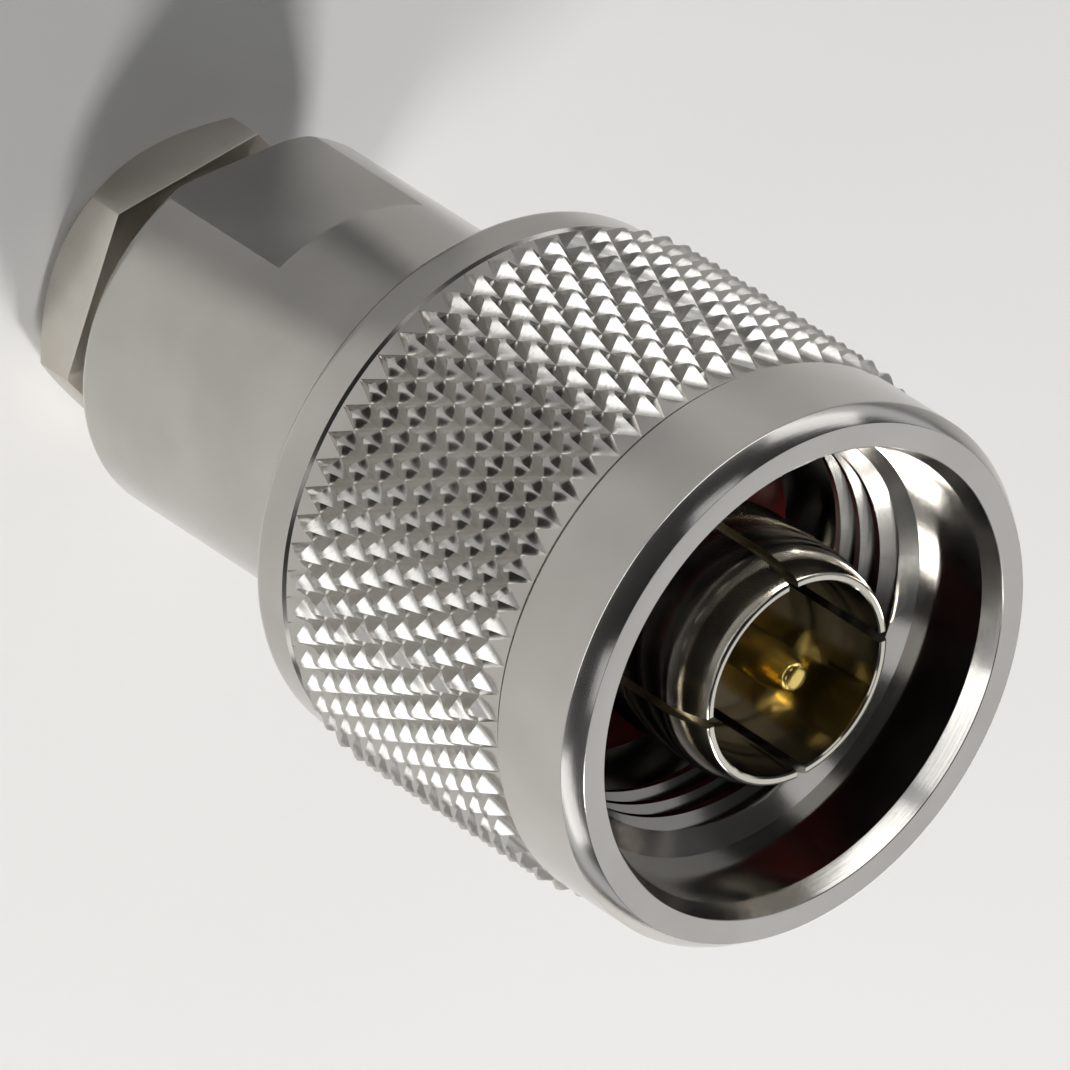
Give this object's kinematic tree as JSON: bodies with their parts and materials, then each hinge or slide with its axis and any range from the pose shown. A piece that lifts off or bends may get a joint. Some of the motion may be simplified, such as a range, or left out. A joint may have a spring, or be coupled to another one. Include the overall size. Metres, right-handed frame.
{
  "type": "coaxial cable plug",
  "caption": "Threaded coaxial cable plug with a knurled coupling nut, a slotted outer contact, a centre pin and a hexagonal clamp nut.",
  "frame": {"origin": "centre of the clamp nut's rear face, which it stands on", "axes": "+Z along the connector's axis, towards the mating end; +X square to one wrench flat of the body"},
  "size_m": [0.0214, 0.0214, 0.0358],
  "materials": {
    "nickel": "bright nickel plate on brass",
    "satin_nickel": "satin nickel plate on brass",
    "gold": "gold plate",
    "spring_bronze": "plain phosphor bronze",
    "ptfe": "white PTFE",
    "red_silicone": "smooth silicone rubber",
    "black_rubber": "smooth rubber"
  },
  "bodies": {
    "plug": {"body": "nickel", "outer_contact": "nickel", "front_insulator": "ptfe", "rear_insulator": "ptfe", "center_pin": "gold", "braid_clamp": "nickel", "cable_gasket": "black_rubber", "interface_gasket": "red_silicone"},
    "ring": {"retaining_ring": "spring_bronze"},
    "nut": {"coupling_nut": "nickel"},
    "washer": {"slip_washer": "nickel"},
    "clamp": {"clamp_nut": "satin_nickel"}
  },
  "joints": [
    {"name": "nut_float", "type": "slide", "parent": "plug", "child": "ring", "axis": [0, 0, 1], "range_m": [0, 0.0004]},
    {"name": "nut_spin", "type": "hinge", "parent": "ring", "child": "nut", "pos_m": [0, 0, 0.0215], "axis": [0, 0, 1], "continuous": true},
    {"name": "clamp_travel", "type": "slide", "parent": "plug", "child": "washer", "axis": [0, 0, 1], "range_m": [-0.0032, 0]},
    {"name": "clamp_turn", "type": "hinge", "parent": "washer", "child": "clamp", "pos_m": [0, 0, 0.006], "axis": [0, 0, 1], "range_deg": [-1440, 0]}
  ],
  "couplings": [
    {"joint": "clamp_travel", "follows": "clamp_turn", "m_per_rad": 0.00012633}
  ]
}
